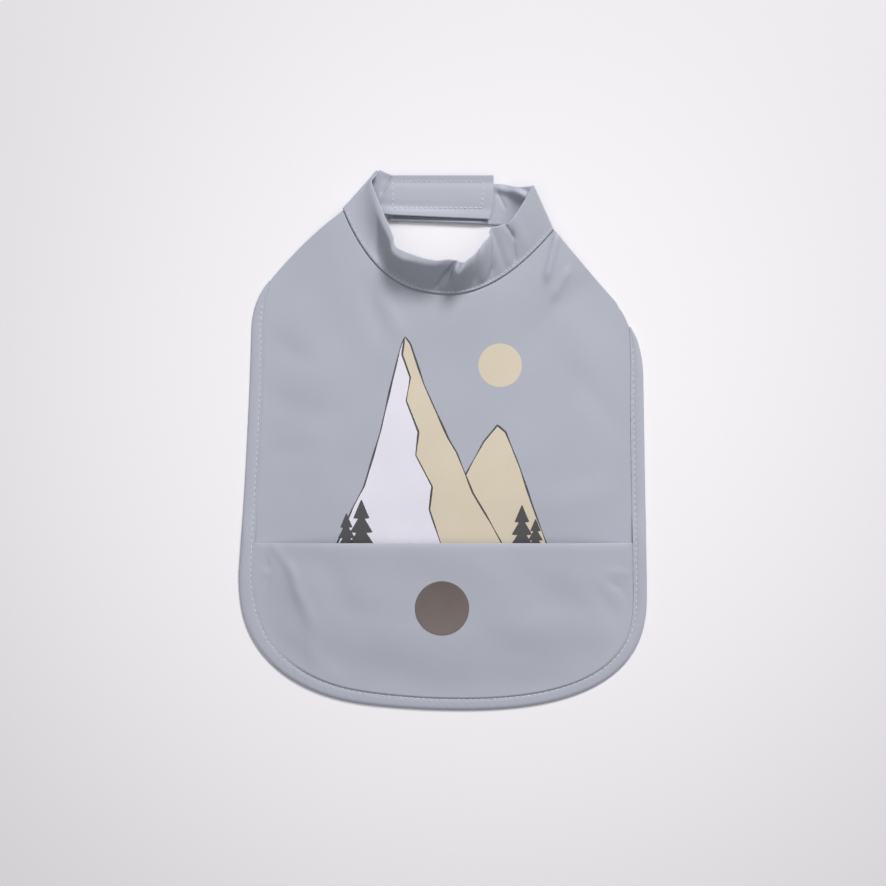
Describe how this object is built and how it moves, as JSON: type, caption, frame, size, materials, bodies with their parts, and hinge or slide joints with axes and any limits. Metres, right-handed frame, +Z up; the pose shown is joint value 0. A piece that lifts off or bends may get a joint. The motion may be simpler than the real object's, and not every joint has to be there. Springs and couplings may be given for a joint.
{
  "type": "bib",
  "caption": "Sewn child's bib of coated fabric with a stand collar, a peel-open hook-and-loop neck strap, bound edges and an open crumb pocket along the bottom.",
  "frame": {"origin": "middle of the bottom of the whole box: the bib lies flat on the table, front up", "axes": "+X to the right as seen from above, +Y from the pocket to the collar, +Z up from the table"},
  "size_m": [0.2999, 0.3968, 0.0281],
  "materials": {
    "coated_fabric": "satin polyurethane coating on knit, blue-grey",
    "fastener_tape": "matte hook and loop tape, grey",
    "badge_foil": "soft metallic transfer foil, grey-brown",
    "sewing_thread": "pale grey sewing thread"
  },
  "bodies": {
    "bib": {"body_panel": "coated_fabric", "pocket_panel": "coated_fabric", "edge_binding": "coated_fabric", "collar_band": "coated_fabric", "loop_tape": "fastener_tape", "pocket_badge": "badge_foil", "edge_thread": "sewing_thread", "collar_thread": "sewing_thread"},
    "strap": {"hook_strap": "coated_fabric", "hook_tape": "fastener_tape", "hook_tape_thread": "sewing_thread"}
  },
  "joints": [
    {"name": "strap_peel", "type": "hinge", "parent": "bib", "child": "strap", "pos_m": [-0.03727, 0.17953, 0.0053], "axis": [0, -1, 0], "range_deg": [0, 90]}
  ]
}
